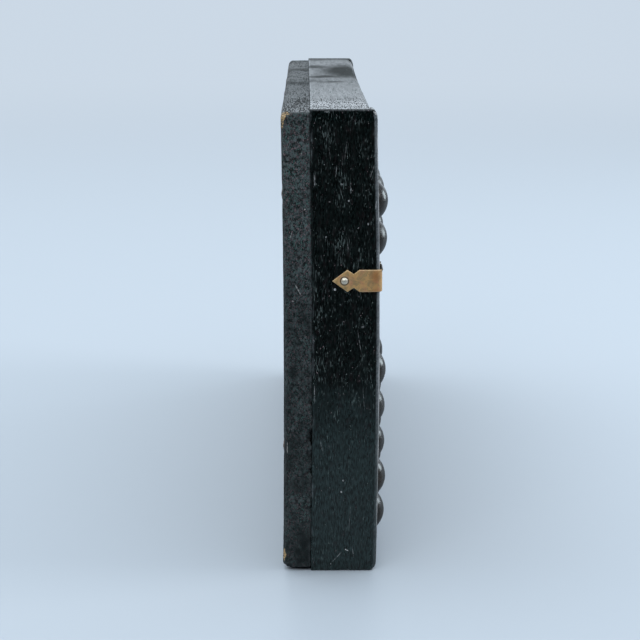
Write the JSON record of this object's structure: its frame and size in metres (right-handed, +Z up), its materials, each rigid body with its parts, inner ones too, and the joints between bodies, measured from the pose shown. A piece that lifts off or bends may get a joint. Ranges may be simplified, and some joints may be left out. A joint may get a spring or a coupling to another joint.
{
  "type": "bead abacus",
  "caption": "Black wooden bead abacus standing on its long edge, with two decks of round beads on upright rods, a divider beam, brass straps and a solid backboard.",
  "frame": {"origin": "middle of the underside of the whole outline, with the abacus standing on its bottom rail", "axes": "+X along the long rails from rod 1 to rod 9, -Y out of the bead side, +Y out of the backboard, +Z up along the rods"},
  "size_m": [0.2748, 0.0374, 0.165],
  "materials": {
    "frame_wood": "gloss",
    "board_wood": "satin",
    "bead_wood": "gloss",
    "rod_bamboo": "satin",
    "strap_brass": "satin",
    "tack_brass": "gloss",
    "nail_steel": "satin"
  },
  "bodies": {
    "frame": {"end_post_left": "frame_wood", "end_post_right": "frame_wood", "top_rail": "frame_wood", "bottom_rail": "frame_wood", "divider_beam": "frame_wood", "backboard": "board_wood", "backboard_nails": "nail_steel", "beam_strap_left": "strap_brass", "strap_tacks_left": "tack_brass", "beam_strap_right": "strap_brass", "strap_tacks_right": "tack_brass", "rod_1": "rod_bamboo", "rod_2": "rod_bamboo", "rod_3": "rod_bamboo", "rod_4": "rod_bamboo", "rod_5": "rod_bamboo", "rod_6": "rod_bamboo", "rod_7": "rod_bamboo", "rod_8": "rod_bamboo", "rod_9": "rod_bamboo"},
    "heaven_beads_1": {"heaven_lower_1": "bead_wood", "heaven_upper_1": "bead_wood"},
    "earth_beads_1": {"earth_lower_1": "bead_wood", "earth_top_1": "bead_wood"},
    "heaven_beads_2": {"heaven_lower_2": "bead_wood", "heaven_upper_2": "bead_wood"},
    "earth_beads_2": {"earth_lower_2": "bead_wood", "earth_top_2": "bead_wood"},
    "heaven_beads_3": {"heaven_lower_3": "bead_wood", "heaven_upper_3": "bead_wood"},
    "earth_beads_3": {"earth_lower_3": "bead_wood", "earth_top_3": "bead_wood"},
    "heaven_beads_4": {"heaven_lower_4": "bead_wood", "heaven_upper_4": "bead_wood"},
    "earth_beads_4": {"earth_lower_4": "bead_wood", "earth_top_4": "bead_wood"},
    "heaven_beads_5": {"heaven_lower_5": "bead_wood", "heaven_upper_5": "bead_wood"},
    "earth_beads_5": {"earth_lower_5": "bead_wood", "earth_top_5": "bead_wood"},
    "heaven_beads_6": {"heaven_lower_6": "bead_wood", "heaven_upper_6": "bead_wood"},
    "earth_beads_6": {"earth_lower_6": "bead_wood", "earth_top_6": "bead_wood"},
    "heaven_beads_7": {"heaven_lower_7": "bead_wood", "heaven_upper_7": "bead_wood"},
    "earth_beads_7": {"earth_lower_7": "bead_wood", "earth_top_7": "bead_wood"},
    "heaven_beads_8": {"heaven_lower_8": "bead_wood", "heaven_upper_8": "bead_wood"},
    "earth_beads_8": {"earth_lower_8": "bead_wood", "earth_top_8": "bead_wood"},
    "heaven_beads_9": {"heaven_lower_9": "bead_wood", "heaven_upper_9": "bead_wood"},
    "earth_beads_9": {"earth_lower_9": "bead_wood", "earth_top_9": "bead_wood"}
  },
  "joints": [
    {"name": "heaven_slide_1", "type": "slide", "parent": "frame", "child": "heaven_beads_1", "axis": [0, 0, 1], "range_m": [0, 0.0181]},
    {"name": "earth_slide_1", "type": "slide", "parent": "frame", "child": "earth_beads_1", "axis": [0, 0, 1], "range_m": [0, 0.0249]},
    {"name": "heaven_slide_2", "type": "slide", "parent": "frame", "child": "heaven_beads_2", "axis": [0, 0, 1], "range_m": [0, 0.0181]},
    {"name": "earth_slide_2", "type": "slide", "parent": "frame", "child": "earth_beads_2", "axis": [0, 0, 1], "range_m": [0, 0.0249]},
    {"name": "heaven_slide_3", "type": "slide", "parent": "frame", "child": "heaven_beads_3", "axis": [0, 0, 1], "range_m": [0, 0.0181]},
    {"name": "earth_slide_3", "type": "slide", "parent": "frame", "child": "earth_beads_3", "axis": [0, 0, 1], "range_m": [0, 0.0249]},
    {"name": "heaven_slide_4", "type": "slide", "parent": "frame", "child": "heaven_beads_4", "axis": [0, 0, 1], "range_m": [0, 0.0181]},
    {"name": "earth_slide_4", "type": "slide", "parent": "frame", "child": "earth_beads_4", "axis": [0, 0, 1], "range_m": [0, 0.0249]},
    {"name": "heaven_slide_5", "type": "slide", "parent": "frame", "child": "heaven_beads_5", "axis": [0, 0, 1], "range_m": [0, 0.0181]},
    {"name": "earth_slide_5", "type": "slide", "parent": "frame", "child": "earth_beads_5", "axis": [0, 0, 1], "range_m": [0, 0.0249]},
    {"name": "heaven_slide_6", "type": "slide", "parent": "frame", "child": "heaven_beads_6", "axis": [0, 0, 1], "range_m": [0, 0.0181]},
    {"name": "earth_slide_6", "type": "slide", "parent": "frame", "child": "earth_beads_6", "axis": [0, 0, 1], "range_m": [0, 0.0249]},
    {"name": "heaven_slide_7", "type": "slide", "parent": "frame", "child": "heaven_beads_7", "axis": [0, 0, 1], "range_m": [0, 0.0181]},
    {"name": "earth_slide_7", "type": "slide", "parent": "frame", "child": "earth_beads_7", "axis": [0, 0, 1], "range_m": [0, 0.0249]},
    {"name": "heaven_slide_8", "type": "slide", "parent": "frame", "child": "heaven_beads_8", "axis": [0, 0, 1], "range_m": [0, 0.0181]},
    {"name": "earth_slide_8", "type": "slide", "parent": "frame", "child": "earth_beads_8", "axis": [0, 0, 1], "range_m": [0, 0.0249]},
    {"name": "heaven_slide_9", "type": "slide", "parent": "frame", "child": "heaven_beads_9", "axis": [0, 0, 1], "range_m": [0, 0.0181]},
    {"name": "earth_slide_9", "type": "slide", "parent": "frame", "child": "earth_beads_9", "axis": [0, 0, 1], "range_m": [0, 0.0249]}
  ]
}
